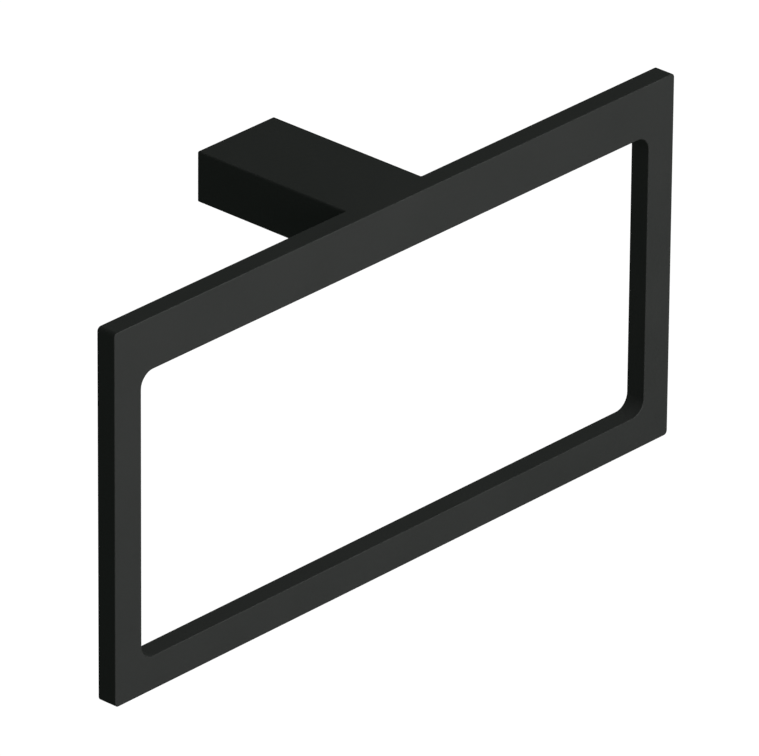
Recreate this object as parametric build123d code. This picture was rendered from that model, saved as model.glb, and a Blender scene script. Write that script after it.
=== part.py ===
from build123d import *
import os

# Wall-mounted towel ring: a flat rectangular loop, held off the wall by one short hollow post.
# X runs to the right, Y into the wall and Z up. The wall is the plane Y = 0, and the origin is the
# centre of the post's wall end. Sizes are in millimetres.

# Loop, cut from flat plate
ring_width = 220.0
ring_height = 109.8
ring_thickness = 6.2
top_rail_height = 15.3
bottom_rail_height = 10.1
side_rail_width = 10.1
ring_corner_radius = 1.25
opening_corner_radius = 4.5
front_edge_radius = 0.25
back_edge_radius = 0.15

# Post, open at the wall and closed where the loop is screwed on
wall_to_ring = 53.8
post_width = 30.0
post_height = 15.0
post_wall = 2.5
post_front_wall = 4.0
post_edge_radius = 0.5
post_end_radius = 0.3
pocket_corner_radius = 1.0

# M4 socket cap screws from inside the post into the back of the top rail, this far from the
# pocket's sides
ring_screw_diameter = 4.0
ring_screw_head_diameter = 7.0
ring_screw_head_height = 4.0
ring_screw_head_radius = 0.4
ring_screw_socket = 3.0
ring_screw_socket_depth = 2.0
ring_screw_to_side = 4.0
ring_screw_hole_clearance = 0.25
ring_skin = 1.4
tapped_hole_runout = 0.8

# Bracket that is screwed to the wall, and that the post slides over, with holes for two
# countersunk 3.5 mm screws
bracket_depth = 12.0
bracket_side_clearance = 0.1
bracket_under_clearance = 0.2
bracket_lead_in = 0.5
wall_hole_diameter = 4.0
wall_hole_to_side = 6.4
countersink_diameter = 7.0

# M4 cone point grub screw, up through the underside of the post
grub_diameter = 4.0
grub_length = 5.0
grub_point_radius = 0.4
grub_socket = 2.0
grub_socket_depth = 2.0
grub_recess = 0.3
grub_to_wall = 6.0
grub_hole_chamfer = 0.3

# Notch under the bracket that the grub screw's cone bears in
notch_width = 6.0
notch_tip_clearance = 0.3
notch_pull = 0.4

# Gap that stands for the thread between a screw and its tapped hole, and break on a thread's end
thread_gap = 0.03
thread_end_chamfer = 0.4

# The loop's top edge is level with the post's top face
ring_top = post_height / 2
opening_width = ring_width - 2 * side_rail_width
opening_height = ring_height - top_rail_height - bottom_rail_height
opening_top = ring_top - top_rail_height

pocket_width = post_width - 2 * post_wall
pocket_height = post_height - 2 * post_wall
pocket_depth = wall_to_ring - post_front_wall

tapped_hole_depth = ring_thickness - ring_skin
ring_screw_length = post_front_wall + tapped_hole_depth - tapped_hole_runout
ring_screw_right = pocket_width / 2 - ring_screw_to_side
ring_screw_places = {"left": -ring_screw_right, "right": ring_screw_right}

bracket_width = pocket_width - 2 * bracket_side_clearance
bracket_height = pocket_height - bracket_under_clearance
bracket_bottom = pocket_height / 2 - bracket_height
wall_hole_right = bracket_width / 2 - wall_hole_to_side
countersink_depth = (countersink_diameter - wall_hole_diameter) / 2

grub_drive_end = -post_height / 2 + grub_recess
grub_tip = grub_drive_end + grub_length
grub_cone_height = grub_diameter / 2 - grub_point_radius

# A cone placed by the middle of its base
standing = (Align.CENTER, Align.CENTER, Align.MIN)


def plane_off_wall(distance):
    # Upright drawing plane at this distance from the wall, whose normal points away from the wall
    return Plane.XZ.offset(distance)


def ring_outline():
    outer = Pos(0, ring_top - ring_height / 2) * RectangleRounded(ring_width, ring_height, ring_corner_radius)
    opening_centre = Pos(0, opening_top - opening_height / 2)
    opening = opening_centre * RectangleRounded(opening_width, opening_height, opening_corner_radius)
    return outer - opening


def ring_frame():
    back = plane_off_wall(wall_to_ring)
    loop = extrude(back * ring_outline(), ring_thickness)
    loop = fillet(loop.faces().sort_by(Axis.Y)[0].edges(), front_edge_radius)

    # The back edges are rounded too, but stay sharp where the post's top face runs on into the loop's
    seat = extrude(back * Rectangle(post_width, post_height), -ring_thickness)
    seated = loop + seat
    at_back = seated.edges().filter_by_position(Axis.Y, -wall_to_ring, -wall_to_ring)
    round_seat = [edge for edge in at_back if abs(edge.center().X) <= post_width / 2
                  and abs(edge.center().Z) <= post_height / 2]
    back_edges = [edge for edge in at_back if edge not in round_seat]
    loop = fillet(back_edges, back_edge_radius) - seat

    for x in ring_screw_places.values():
        hole = back * Pos(x, 0) * Circle(ring_screw_diameter / 2 + thread_gap)
        loop -= extrude(hole, tapped_hole_depth)
    return loop


def post():
    wall = plane_off_wall(0)
    body = extrude(wall * RectangleRounded(post_width, post_height, post_edge_radius), wall_to_ring)
    body = fillet(body.faces().sort_by(Axis.Y)[-1].edges(), post_end_radius)
    body -= extrude(wall * RectangleRounded(pocket_width, pocket_height, pocket_corner_radius), pocket_depth)

    for x in ring_screw_places.values():
        hole = Pos(x, 0) * Circle(ring_screw_diameter / 2 + ring_screw_hole_clearance)
        body -= extrude(plane_off_wall(pocket_depth) * hole, post_front_wall)

    underside = Plane.XY.offset(-post_height / 2)
    grub_hole = Pos(0, -grub_to_wall) * Circle(grub_diameter / 2 + thread_gap)
    body -= extrude(underside * grub_hole, post_wall)
    mouth = body.edges().filter_by(GeomType.CIRCLE).sort_by(Axis.Z)[0]
    return chamfer(mouth, grub_hole_chamfer)


def ring_screw(x):
    # The head bears on the inside of the post's front wall
    seat = plane_off_wall(pocket_depth) * Pos(x, 0)
    head = extrude(seat * Circle(ring_screw_head_diameter / 2), -ring_screw_head_height)
    head = fillet(head.edges().sort_by(Axis.Y)[-1], ring_screw_head_radius)
    shank = extrude(seat * Circle(ring_screw_diameter / 2), ring_screw_length)
    shank = chamfer(shank.edges().sort_by(Axis.Y)[0], thread_end_chamfer)

    drive_end = plane_off_wall(pocket_depth - ring_screw_head_height) * Pos(x, 0)
    socket = drive_end * RegularPolygon(ring_screw_socket / 2, 6, major_radius=False)
    return head + shank - extrude(socket, ring_screw_socket_depth)


def notch():
    # Square V across the bracket with a flat roof. Its middle is nearer to the wall than the screw is,
    # so the screw's cone lies on the flank away from the wall, and draws the post in as it rises.
    roof = grub_tip + notch_tip_clearance
    middle = -grub_to_wall + notch_pull
    roof_reach = notch_pull + grub_point_radius - notch_tip_clearance
    mouth_reach = roof_reach + roof - bracket_bottom
    flanks = Polyline(
        (middle - mouth_reach, bracket_bottom),
        (middle - roof_reach, roof),
        (middle + roof_reach, roof),
        (middle + mouth_reach, bracket_bottom),
        close=True,
    )
    return extrude(Plane.YZ * make_face(flanks), notch_width / 2, both=True)


def wall_bracket():
    # The top bears on the roof of the post's pocket, where the grub screw presses it
    wall = plane_off_wall(0)
    middle = Pos(0, bracket_bottom + bracket_height / 2)
    outline = middle * RectangleRounded(bracket_width, bracket_height, pocket_corner_radius)
    block = extrude(wall * outline, bracket_depth)
    block = chamfer(block.faces().sort_by(Axis.Y)[0].edges(), bracket_lead_in)

    countersink_floor = plane_off_wall(bracket_depth - countersink_depth)
    countersink = Cone(wall_hole_diameter / 2, countersink_diameter / 2, countersink_depth, align=standing)
    for x in (-wall_hole_right, wall_hole_right):
        block -= extrude(wall * Pos(x, 0) * Circle(wall_hole_diameter / 2), bracket_depth)
        block -= countersink_floor * Pos(x, 0) * countersink
    return block - notch()


def grub_screw():
    lower_end = Plane.XY.offset(grub_drive_end) * Pos(0, -grub_to_wall)
    body = extrude(lower_end * Circle(grub_diameter / 2), grub_length - grub_cone_height)
    body = chamfer(body.edges().sort_by(Axis.Z)[0], thread_end_chamfer)
    cone_base = Pos(0, -grub_to_wall, grub_tip - grub_cone_height)
    cone = Cone(grub_diameter / 2, grub_point_radius, grub_cone_height, align=standing)
    socket = lower_end * RegularPolygon(grub_socket / 2, 6, major_radius=False)
    return body + cone_base * cone - extrude(socket, grub_socket_depth)


nodes = {
    "ring_frame": ring_frame(),
    "post": post(),
    "wall_bracket": wall_bracket(),
    "grub_screw": grub_screw(),
}
for side, x in ring_screw_places.items():
    nodes[f"ring_screw_{side}"] = ring_screw(x)

os.makedirs("parts", exist_ok=True)
for name, solid in nodes.items():
    export_step(solid, f"parts/{name}.step")
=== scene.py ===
import bmesh
import bpy
from math import cos, pi, radians, sin, tau
from mathutils import Matrix, Vector


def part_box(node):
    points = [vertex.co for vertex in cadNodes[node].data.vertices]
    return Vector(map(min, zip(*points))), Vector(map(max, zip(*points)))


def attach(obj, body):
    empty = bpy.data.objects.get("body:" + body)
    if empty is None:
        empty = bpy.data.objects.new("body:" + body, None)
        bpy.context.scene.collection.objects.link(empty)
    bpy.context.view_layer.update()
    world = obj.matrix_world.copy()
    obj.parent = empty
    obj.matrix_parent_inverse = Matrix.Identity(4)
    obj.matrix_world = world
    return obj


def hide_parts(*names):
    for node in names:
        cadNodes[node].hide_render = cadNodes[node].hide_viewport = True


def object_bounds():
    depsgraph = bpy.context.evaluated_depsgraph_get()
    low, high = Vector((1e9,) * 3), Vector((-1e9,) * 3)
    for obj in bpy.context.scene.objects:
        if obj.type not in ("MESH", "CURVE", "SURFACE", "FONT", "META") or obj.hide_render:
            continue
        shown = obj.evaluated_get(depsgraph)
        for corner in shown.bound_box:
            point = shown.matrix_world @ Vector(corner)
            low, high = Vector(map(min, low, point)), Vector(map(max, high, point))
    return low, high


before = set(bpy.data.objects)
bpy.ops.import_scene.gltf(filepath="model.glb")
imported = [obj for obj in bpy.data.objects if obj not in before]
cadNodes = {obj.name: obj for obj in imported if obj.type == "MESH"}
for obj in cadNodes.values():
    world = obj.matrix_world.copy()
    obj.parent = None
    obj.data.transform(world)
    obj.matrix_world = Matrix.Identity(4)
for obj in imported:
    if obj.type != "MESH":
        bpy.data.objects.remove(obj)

# Wall-mounted towel ring in matte black. Metres, X right, Y into the wall, Z up, and the origin at
# the centre of the post's wall end.

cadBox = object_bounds()
mm = 0.001        # in metres
print("stage 1: frame loaded with", len(cadNodes), "nodes")


def linearColour(hexColour):
    # the hex colours are sRGB and the shaders want them linear, by the sRGB standard's own curve
    channels = [int(hexColour[i:i + 2], 16) / 255 for i in (1, 3, 5)]
    return [c / 12.92 if c <= 0.04045 else ((c + 0.055) / 1.055) ** 2.4 for c in channels] + [1.0]


def addNode(tree, nodeType, inputs=None, settings=None, out=0):
    # One node with its settings, each input a plain value or a link from another node. Inputs go by
    # name, or by number where several share one, as on maths and mix nodes. Gives back the output
    # that is asked for, or the node itself where it has none.
    node = tree.nodes.new(nodeType)
    for name, value in (settings or {}).items():
        setattr(node, name, value)
    for name, value in (inputs or {}).items():
        if isinstance(value, bpy.types.NodeSocket):
            tree.links.new(value, node.inputs[name])
        else:
            node.inputs[name].default_value = value
    return node.outputs[out] if node.outputs else node


def newMaterial(name):
    material = bpy.data.materials.new(name)
    material.use_nodes = True
    material.node_tree.nodes.clear()
    return material, material.node_tree


mixLow, mixHigh, mixColour = 6, 7, 2        # the mix node's sockets for colours
noiseLow, noiseHigh = 0.3, 0.7              # what a noise mostly stays between

# Polyester powder coat on metal, sprayed dry and baked: an even matte black skin with the faint
# orange peel that powder leaves as it flows, and a fine dry grain that takes the shine off it.
powderCoat = {
    "colour": "#2b2c2b",
    "colourLow": "#272827",
    "ior": 1.5,
    "specularLevel": 0.4,
    "roughnessLow": 0.58,
    "roughnessHigh": 0.66,
    "patchSize": 18 * mm,        # slow drift of tone and sheen
    "peelSize": 1.6 * mm,        # orange peel
    "peelHeight": 0.040 * mm,    # drawn deeper than the real 0.01 mm so that it shows
    "grainSize": 0.30 * mm,      # powder grain, drawn coarser than the real 0.05 mm so that it shows
    "grainHeight": 0.030 * mm,
}


def makePowderCoat(s):
    material, tree = newMaterial("matteBlackPowderCoat")
    place = addNode(tree, "ShaderNodeTexCoord", out="Object")
    patches = addNode(tree, "ShaderNodeTexNoise", {"Vector": place, "Scale": 1 / s["patchSize"]})
    colour = addNode(tree, "ShaderNodeMix", {
        "Factor": patches, mixLow: linearColour(s["colourLow"]), mixHigh: linearColour(s["colour"]),
    }, {"data_type": "RGBA"}, out=mixColour)
    roughness = addNode(tree, "ShaderNodeMapRange", {
        "Value": patches, "From Min": noiseLow, "From Max": noiseHigh,
        "To Min": s["roughnessLow"], "To Max": s["roughnessHigh"],
    })
    peel = addNode(tree, "ShaderNodeTexNoise", {"Vector": place, "Scale": 1 / s["peelSize"]})
    peeled = addNode(tree, "ShaderNodeBump", {"Height": peel, "Distance": s["peelHeight"]})
    grain = addNode(tree, "ShaderNodeTexNoise", {
        "Vector": place, "Scale": 1 / s["grainSize"], "Detail": 3.0})
    grained = addNode(tree, "ShaderNodeBump", {
        "Height": grain, "Distance": s["grainHeight"], "Normal": peeled})
    coat = addNode(tree, "ShaderNodeBsdfPrincipled", {
        "Base Color": colour, "Roughness": roughness, "Normal": grained,
        "IOR": s["ior"], "Specular IOR Level": s["specularLevel"],
    })
    addNode(tree, "ShaderNodeOutputMaterial", {"Surface": coat})
    return material


def dress(nodeNames, material):
    for name in nodeNames:
        cadNodes[name].data.materials.clear()
        cadNodes[name].data.materials.append(material)


dress(("ring_frame", "post"), makePowderCoat(powderCoat))
print("stage 2: powder coat on the loop and the post")

# Steel bar, milled and zinc plated: a bright blue-grey metal whose milling lines run along X under
# the plating, with a faintly cloudy satin where the zinc crystals are coarser.
zincPlate = {
    "colour": "#c7c9ce",
    "colourLow": "#aeb0b7",
    "roughnessLow": 0.32,
    "roughnessHigh": 0.42,
    "cloudSize": 3.0 * mm,
    "millingGap": 0.45 * mm,     # from one milling line to the next
    "millingLength": 9.0 * mm,
    "millingHeight": 0.006 * mm,
}


def makeZincPlate(s):
    material, tree = newMaterial("zincPlatedSteel")
    place = addNode(tree, "ShaderNodeTexCoord", out="Object")
    clouds = addNode(tree, "ShaderNodeTexNoise", {
        "Vector": place, "Scale": 1 / s["cloudSize"], "Detail": 4.0})
    colour = addNode(tree, "ShaderNodeMix", {
        "Factor": clouds, mixLow: linearColour(s["colourLow"]), mixHigh: linearColour(s["colour"]),
    }, {"data_type": "RGBA"}, out=mixColour)
    roughness = addNode(tree, "ShaderNodeMapRange", {
        "Value": clouds, "From Min": noiseLow, "From Max": noiseHigh,
        "To Min": s["roughnessHigh"], "To Max": s["roughnessLow"],
    })
    stretched = addNode(tree, "ShaderNodeMapping", {
        "Vector": place, "Scale": (s["millingGap"] / s["millingLength"], 1.0, 1.0)})
    milling = addNode(tree, "ShaderNodeTexNoise", {"Vector": stretched, "Scale": 1 / s["millingGap"]})
    milled = addNode(tree, "ShaderNodeBump", {"Height": milling, "Distance": s["millingHeight"]})
    plate = addNode(tree, "ShaderNodeBsdfPrincipled", {
        "Base Color": colour, "Metallic": 1.0, "Roughness": roughness, "Normal": milled})
    addNode(tree, "ShaderNodeOutputMaterial", {"Surface": plate})
    return material


dress(("wall_bracket",), makeZincPlate(zincPlate))
print("stage 3: zinc plate on the wall bracket")

# Alloy steel screws, cold headed, rolled and blackened in an oxide bath, then oiled: a dark metal
# with a soft shine that is patchy where the oil lies.
blackOxide = {
    "colour": "#4a4b4f",
    "colourLow": "#343437",
    "roughnessLow": 0.30,
    "roughnessHigh": 0.46,
    "oilSize": 1.4 * mm,
    "pitSize": 0.16 * mm,        # etched grain, drawn coarser than the real 0.01 mm
    "pitHeight": 0.0012 * mm,
}


def makeBlackOxide(s):
    material, tree = newMaterial("blackOxideSteel")
    place = addNode(tree, "ShaderNodeTexCoord", out="Object")
    oil = addNode(tree, "ShaderNodeTexNoise", {
        "Vector": place, "Scale": 1 / s["oilSize"], "Detail": 3.0})
    colour = addNode(tree, "ShaderNodeMix", {
        "Factor": oil, mixLow: linearColour(s["colourLow"]), mixHigh: linearColour(s["colour"]),
    }, {"data_type": "RGBA"}, out=mixColour)
    roughness = addNode(tree, "ShaderNodeMapRange", {
        "Value": oil, "From Min": noiseLow, "From Max": noiseHigh,
        "To Min": s["roughnessHigh"], "To Max": s["roughnessLow"],
    })
    pits = addNode(tree, "ShaderNodeTexNoise", {"Vector": place, "Scale": 1 / s["pitSize"]})
    pitted = addNode(tree, "ShaderNodeBump", {"Height": pits, "Distance": s["pitHeight"]})
    steel = addNode(tree, "ShaderNodeBsdfPrincipled", {
        "Base Color": colour, "Metallic": 1.0, "Roughness": roughness, "Normal": pitted})
    addNode(tree, "ShaderNodeOutputMaterial", {"Surface": steel})
    return material


screwSteel = makeBlackOxide(blackOxide)
flatToCorner = pi / 6        # from the middle of a hexagon's side round to its corner


def turnedBlank(name, rows, columns):
    # Rows of (radius, height, kind) from the middle of the drive end to the middle of the tip.
    # A "hexagon" row gives half its size across flats, and a "thread" row is where the thread is cut.
    mesh = bmesh.new()
    cut = mesh.verts.layers.float.new("threaded")
    rings = []
    for radius, height, kind in rows:
        ring = []
        for i in range(1 if radius == 0 else columns):
            angle = tau * i / columns
            fromFlat = (angle + flatToCorner) % (2 * flatToCorner) - flatToCorner
            reach = radius / cos(fromFlat) if kind == "hexagon" else radius
            vertex = mesh.verts.new((reach * cos(angle), reach * sin(angle), height))
            vertex[cut] = 1.0 if kind == "thread" else 0.0
            ring.append(vertex)
        rings.append(ring)
    for low, high in zip(rings, rings[1:]):
        for i in range(columns):
            j = (i + 1) % columns
            corners = [low[i % len(low)], low[j % len(low)], high[j % len(high)], high[i % len(high)]]
            mesh.faces.new(list(dict.fromkeys(corners)))
    bmesh.ops.recalc_face_normals(mesh, faces=mesh.faces)
    data = bpy.data.meshes.new(name)
    mesh.to_mesh(data)
    mesh.free()
    return data


def socketRows(s):
    # drilled bottom, broached hexagon, and the small countersink at its mouth
    half = s["socketFlats"] / 2
    mouth = half / cos(flatToCorner) + s["socketRim"]
    return [
        (0, s["socketDepth"] + s["drillCone"], "round"),
        (s["drillRadius"], s["socketDepth"], "round"),
        (half, s["socketDepth"], "hexagon"),
        (half, s["socketRimDepth"], "hexagon"),
        (mouth, 0, "round"),
    ]


def threadRows(radius, start, end, rowGap):
    count = round((end - start) / rowGap)
    return [(radius, start + (end - start) * i / count, "thread") for i in range(count + 1)]


def headRows(s):
    # The end face stays flat up to its rim, which is rounded over to the side. One row just inside
    # the rim keeps the face's shading even.
    radius, edge, steps = s["headRadius"], s["headEdge"], s["headEdgeSteps"]
    turns = [pi / 2 * i / steps for i in range(steps + 1)]
    rows = [(radius - edge - s["headRimRow"], 0, "round")]
    rows += [(radius - edge * (1 - sin(t)), edge * (1 - cos(t)), "round") for t in turns]
    return rows + [(radius, s["headHeight"], "round")]


def makeThreadTree(name):
    # Geometry Nodes: cuts a right-hand helical thread in a blank, then sets copies of it in a row
    tree = bpy.data.node_groups.new(name, "GeometryNodeTree")
    panel = tree.interface
    panel.new_socket("Blank", in_out="INPUT", socket_type="NodeSocketGeometry")
    kinds = {
        "Thread Radius": "Float", "Pitch": "Float", "Thread Depth": "Float", "Count": "Int",
        "First Place": "Vector", "Step": "Vector", "Turn": "Vector", "Finish": "Material",
    }
    for label, kind in kinds.items():
        panel.new_socket(label, in_out="INPUT", socket_type="NodeSocket" + kind)
    panel.new_socket("Screws", in_out="OUTPUT", socket_type="NodeSocketGeometry")
    given = addNode(tree, "NodeGroupInput").node.outputs        # the inputs above, by name

    # Where each point lies on the helix: its height in pitches, less the part of a turn that it
    # stands round the axis. Folded, that runs from 0 on a crest to 0.5 in a root.
    place = addNode(tree, "GeometryNodeInputPosition")
    axes = addNode(tree, "ShaderNodeSeparateXYZ", {"Vector": place}).node.outputs
    angle = addNode(tree, "ShaderNodeMath", {0: axes["Y"], 1: axes["X"]}, {"operation": "ARCTAN2"})
    turned = addNode(tree, "ShaderNodeMath", {0: angle, 1: tau}, {"operation": "DIVIDE"})
    risen = addNode(tree, "ShaderNodeMath", {0: axes["Z"], 1: given["Pitch"]}, {"operation": "DIVIDE"})
    along = addNode(tree, "ShaderNodeMath", {0: risen, 1: turned}, {"operation": "SUBTRACT"})
    fromCrest = addNode(tree, "ShaderNodeMath", {0: along, 1: 0.5}, {"operation": "PINGPONG"})

    # ISO thread form: a crest is flat over an eighth of the pitch and a root over a quarter
    crestFlat, rootFlat = 1 / 8, 1 / 4
    depth = addNode(tree, "ShaderNodeMath", {
        0: given["Thread Depth"], 1: given["Thread Radius"]}, {"operation": "DIVIDE"})
    rootScale = addNode(tree, "ShaderNodeMath", {0: 1.0, 1: depth}, {"operation": "SUBTRACT"})
    inward = addNode(tree, "ShaderNodeMapRange", {
        "Value": fromCrest, "From Min": crestFlat / 2, "From Max": 0.5 - rootFlat / 2,
        "To Min": 1.0, "To Max": rootScale,
    })
    drawnIn = addNode(tree, "ShaderNodeCombineXYZ", {"X": inward, "Y": inward, "Z": 1.0})
    moved = addNode(tree, "ShaderNodeVectorMath", {0: place, 1: drawnIn}, {"operation": "MULTIPLY"})
    isThread = addNode(tree, "GeometryNodeInputNamedAttribute", {"Name": "threaded"},
                       {"data_type": "BOOLEAN"})
    threaded = addNode(tree, "GeometryNodeSetPosition", {
        "Geometry": given["Blank"], "Selection": isThread, "Position": moved})

    row = addNode(tree, "GeometryNodeMeshLine", {
        "Count": given["Count"], "Start Location": given["First Place"], "Offset": given["Step"],
    }, {"mode": "OFFSET"})
    rotation = addNode(tree, "FunctionNodeEulerToRotation", {"Euler": given["Turn"]})
    placed = addNode(tree, "GeometryNodeInstanceOnPoints", {
        "Points": row, "Instance": threaded, "Rotation": rotation})
    real = addNode(tree, "GeometryNodeRealizeInstances", {"Geometry": placed})
    finished = addNode(tree, "GeometryNodeSetMaterial", {"Geometry": real, "Material": given["Finish"]})
    addNode(tree, "NodeGroupOutput", {"Screws": finished})
    return tree


threadTree = makeThreadTree("threadedScrews")
sharpFrom = radians(28)        # faces that meet at more than this show an edge


def makeScrews(name, blank, s, count, firstPlace, step, turn):
    # runs the tree on a blank and keeps the result as a plain mesh
    source = bpy.data.objects.new(name + "Blank", blank)
    bpy.context.scene.collection.objects.link(source)
    modifier = source.modifiers.new("threadedScrews", "NODES")
    modifier.node_group = threadTree
    values = {
        "Thread Radius": s["threadRadius"], "Pitch": s["pitch"], "Thread Depth": s["threadDepth"],
        "Count": count, "First Place": firstPlace, "Step": step, "Turn": turn, "Finish": screwSteel,
    }
    for item in threadTree.interface.items_tree:
        if item.name in values:
            modifier[item.identifier] = values[item.name]
    evaluated = source.evaluated_get(bpy.context.evaluated_depsgraph_get())
    mesh = bpy.data.meshes.new_from_object(evaluated)
    bpy.data.objects.remove(source)
    mesh.name = name
    mesh.shade_smooth()
    mesh.set_sharp_from_angle(angle=sharpFrom)
    piece = bpy.data.objects.new(name, mesh)
    bpy.context.scene.collection.objects.link(piece)
    return piece


# Two M4 socket cap screws in a row, heads inside the post and tips in the loop's top rail, as
# long as in the frame and in the same places
leftLow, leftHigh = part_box("ring_screw_left")
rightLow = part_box("ring_screw_right")[0]
ringScrews = {
    "length": leftHigh.y - leftLow.y,
    "headRadius": 3.5 * mm,
    "headHeight": 4.0 * mm,
    "headEdge": 0.4 * mm,        # radius of the rounded rim
    "headEdgeSteps": 6,
    "headRimRow": 0.08 * mm,     # how far inside the rim the end face has its last row
    "socketFlats": 3.0 * mm,
    "socketDepth": 2.0 * mm,
    "socketRim": 0.06 * mm,      # how far the countersink reaches past the hexagon's corners
    "socketRimDepth": 0.24 * mm,
    "drillRadius": 1.41 * mm,
    "drillCone": 0.25 * mm,
    "threadRadius": 2.0 * mm,
    "threadStart": 4.6 * mm,     # the thread runs out just under the head
    "tipChamfer": 0.4 * mm,
    "pitch": 0.7 * mm,
    "threadDepth": 0.40 * mm,
    "columns": 60,               # points round the screw
    "rowGap": 0.05 * mm,         # from one row of the thread's points to the next
}
tipsFromWall = (pi / 2, 0.0, 0.0)        # lays the upright blank down, with its tip off the wall


def ringScrewBlank(s):
    shank, tip = s["threadRadius"], s["length"] - s["tipChamfer"]
    rows = socketRows(s) + headRows(s) + [(shank, s["headHeight"], "round")]
    rows += threadRows(shank, s["threadStart"], tip, s["rowGap"])
    rows += [(shank - s["tipChamfer"], s["length"], "round"), (0, s["length"], "round")]
    return turnedBlank("ringScrewBlank", rows, s["columns"])


leftMiddle = (leftLow + leftHigh) / 2
ringScrewPair = makeScrews(
    "ring_screws", ringScrewBlank(ringScrews), ringScrews, count=2,
    firstPlace=(leftMiddle.x, leftHigh.y, leftMiddle.z),
    step=rightLow - leftLow, turn=tipsFromWall)
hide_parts("ring_screw_left", "ring_screw_right")

# One M4 cone point grub screw, upright, its socket just inside the post's underside
grubLow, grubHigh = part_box("grub_screw")
grubScrew = {
    "length": grubHigh.z - grubLow.z,
    "socketFlats": 2.0 * mm,
    "socketDepth": 2.0 * mm,
    "socketRim": 0.06 * mm,
    "socketRimDepth": 0.24 * mm,
    "drillRadius": 0.94 * mm,
    "drillCone": 0.25 * mm,
    "threadRadius": 2.0 * mm,
    "endChamfer": 0.4 * mm,
    "pointRadius": 0.4 * mm,
    "pitch": 0.7 * mm,
    "threadDepth": 0.40 * mm,
    "columns": 60,
    "rowGap": 0.05 * mm,
}


def grubScrewBlank(s):
    outer, chamfer = s["threadRadius"], s["endChamfer"]
    coneStart = s["length"] - (outer - s["pointRadius"])    # a right-angled point
    rows = socketRows(s) + [(outer - chamfer, 0, "round")]
    rows += threadRows(outer, chamfer, coneStart, s["rowGap"])
    rows += [(s["pointRadius"], s["length"], "round"), (0, s["length"], "round")]
    return turnedBlank("grubScrewBlank", rows, s["columns"])


grubMiddle = (grubLow + grubHigh) / 2
grubPiece = makeScrews(
    "set_screw", grubScrewBlank(grubScrew), grubScrew, count=1,
    firstPlace=(grubMiddle.x, grubMiddle.y, grubLow.z), step=(0.0, 0.0, 0.0), turn=(0.0, 0.0, 0.0))
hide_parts("grub_screw")

for piece in (ringScrewPair, grubPiece):
    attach(piece, "root")
screwFaces = len(ringScrewPair.data.polygons) + len(grubPiece.data.polygons)
print("stage 4: threaded screws,", screwFaces, "faces")

# Camera at the photograph's viewing angle: degrees, metres, and the lens and sensor in millimetres.
# The frame is 759 by 756 pixels.
photoView = {
    "azimuth": -47.689,
    "elevation": 26.559,
    "roll": -0.483,
    "distance": 3.1448,
    "lens": 558.29,
    "sensor": 36.0,
    "aim": (-2.937 * mm, -55.497 * mm, -45.581 * mm),
    "farthest": 100.0,           # past the floor's far edge
}


def makeCamera(s):
    azimuth, elevation, roll = (radians(s[key]) for key in ("azimuth", "elevation", "roll"))
    level = cos(elevation)
    back = Vector((sin(azimuth) * level, -cos(azimuth) * level, sin(elevation)))
    right = (-back).cross(Vector((0, 0, 1))).normalized()
    up = right.cross(-back)
    turned = Matrix((right, up, back)).transposed() @ Matrix.Rotation(-roll, 3, "Z")
    data = bpy.data.cameras.new("photoCamera")
    data.lens = s["lens"]
    data.sensor_width = s["sensor"]
    data.clip_end = s["farthest"]
    camera = bpy.data.objects.new("photoCamera", data)
    camera.matrix_world = Matrix.Translation(Vector(s["aim"]) + back * s["distance"]) @ turned.to_4x4()
    bpy.context.scene.collection.objects.link(camera)
    bpy.context.scene.camera = camera


makeCamera(photoView)
print("stage 5: camera placed")

# Pale floor well below the object, lit from within so that it stays white with no shadow, and open
# from underneath so that the object can be looked at from below
floorSetup = {"colour": "#f4f4f4", "glow": 1.15, "drop": 0.45, "size": 14.0}


def makeFloor(s):
    half, z = s["size"] / 2, cadBox[0][2] - s["drop"]
    corners = [(-half, -half, z), (half, -half, z), (half, half, z), (-half, half, z)]
    mesh = bpy.data.meshes.new("floor")
    mesh.from_pydata(corners, [], [(0, 1, 2, 3)])
    floor = bpy.data.objects.new("floor", mesh)
    bpy.context.scene.collection.objects.link(floor)
    material, tree = newMaterial("paleLightTable")
    glow = addNode(tree, "ShaderNodeEmission", {
        "Color": linearColour(s["colour"]), "Strength": s["glow"]})
    fromBelow = addNode(tree, "ShaderNodeNewGeometry", out="Backfacing")
    nothing = addNode(tree, "ShaderNodeBsdfTransparent")
    sheet = addNode(tree, "ShaderNodeMixShader", {0: fromBelow, 1: glow, 2: nothing})
    addNode(tree, "ShaderNodeOutputMaterial", {"Surface": sheet})
    mesh.materials.append(material)
    floor.visible_diffuse = False    # the photograph's object catches nothing from below
    floor.visible_glossy = False


makeFloor(floorSetup)

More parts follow.
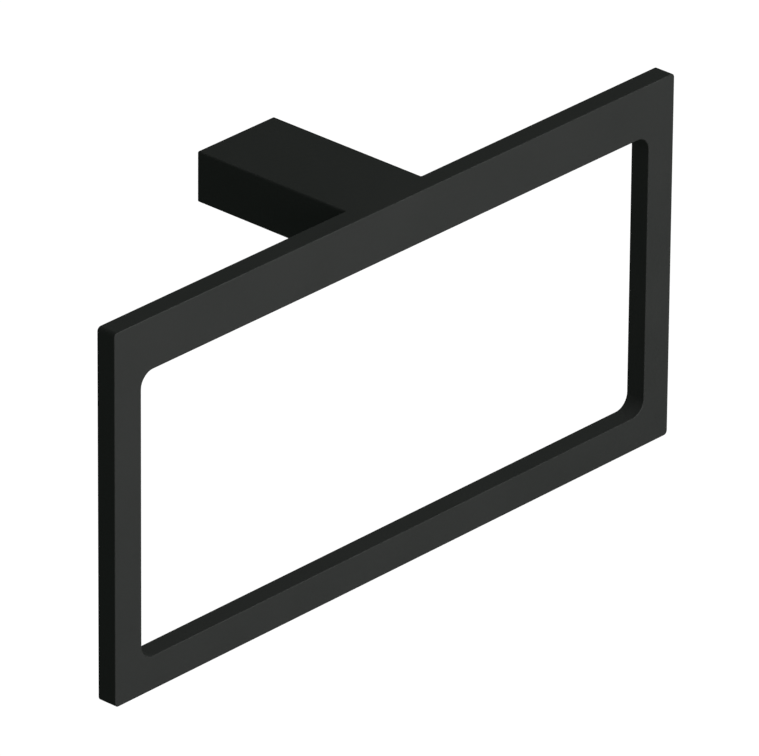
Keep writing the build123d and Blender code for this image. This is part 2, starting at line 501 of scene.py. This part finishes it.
# Soft square lights round the object: place and width in metres, power in watts
studioLights = {
    "frontSoftbox": {"place": (0.30, -1.40, 0.10), "size": 1.0, "power": 8.3},
    "keySoftbox": {"place": (0.12, -0.60, 0.42), "size": 0.4, "power": 2.35},
    "leftSoftbox": {"place": (-0.45, -1.50, 0.12), "size": 1.0, "power": 4.8},
    "leftFill": {"place": (-1.60, 0.15, 0.10), "size": 1.2, "power": 1.12},
    "rearSoftbox": {"place": (0.50, 1.90, -0.20), "size": 1.4, "power": 12.0},
    "lowFill": {"place": (0.45, 0.30, -0.45), "size": 0.4, "power": 4.0},
}


def makeLight(name, s, aim):
    data = bpy.data.lights.new(name, "AREA")
    data.shape = "SQUARE"
    data.size = s["size"]
    data.energy = s["power"]
    light = bpy.data.objects.new(name, data)
    place = Vector(s["place"])
    facing = (place - Vector(aim)).to_track_quat("Z", "Y").to_matrix().to_4x4()
    light.matrix_world = Matrix.Translation(place) @ facing
    light.visible_camera = False
    bpy.context.scene.collection.objects.link(light)


for name, settings in studioLights.items():
    makeLight(name, settings, photoView["aim"])

# A dim room that the object catches, and a backdrop as bright as the floor where the camera looks
# past it
studioRoom = {"colour": "#d8f4e0", "strength": 0.083, "backdrop": "#ffffff", "backdropStrength": 1.04}


def makeRoom(s):
    world = bpy.data.worlds.new("studioRoom")
    world.use_nodes = True
    tree = world.node_tree
    tree.nodes.clear()
    room = addNode(tree, "ShaderNodeBackground", {
        "Color": linearColour(s["colour"]), "Strength": s["strength"]})
    backdrop = addNode(tree, "ShaderNodeBackground", {
        "Color": linearColour(s["backdrop"]), "Strength": s["backdropStrength"]})
    seen = addNode(tree, "ShaderNodeLightPath", out="Is Camera Ray")
    both = addNode(tree, "ShaderNodeMixShader", {0: seen, 1: room, 2: backdrop})
    addNode(tree, "ShaderNodeOutputWorld", {"Surface": both})
    bpy.context.scene.world = world


makeRoom(studioRoom)
bpy.context.scene.view_settings.view_transform = "Standard"
print("stage 6: floor, lights and room")

print("stage 7: done")
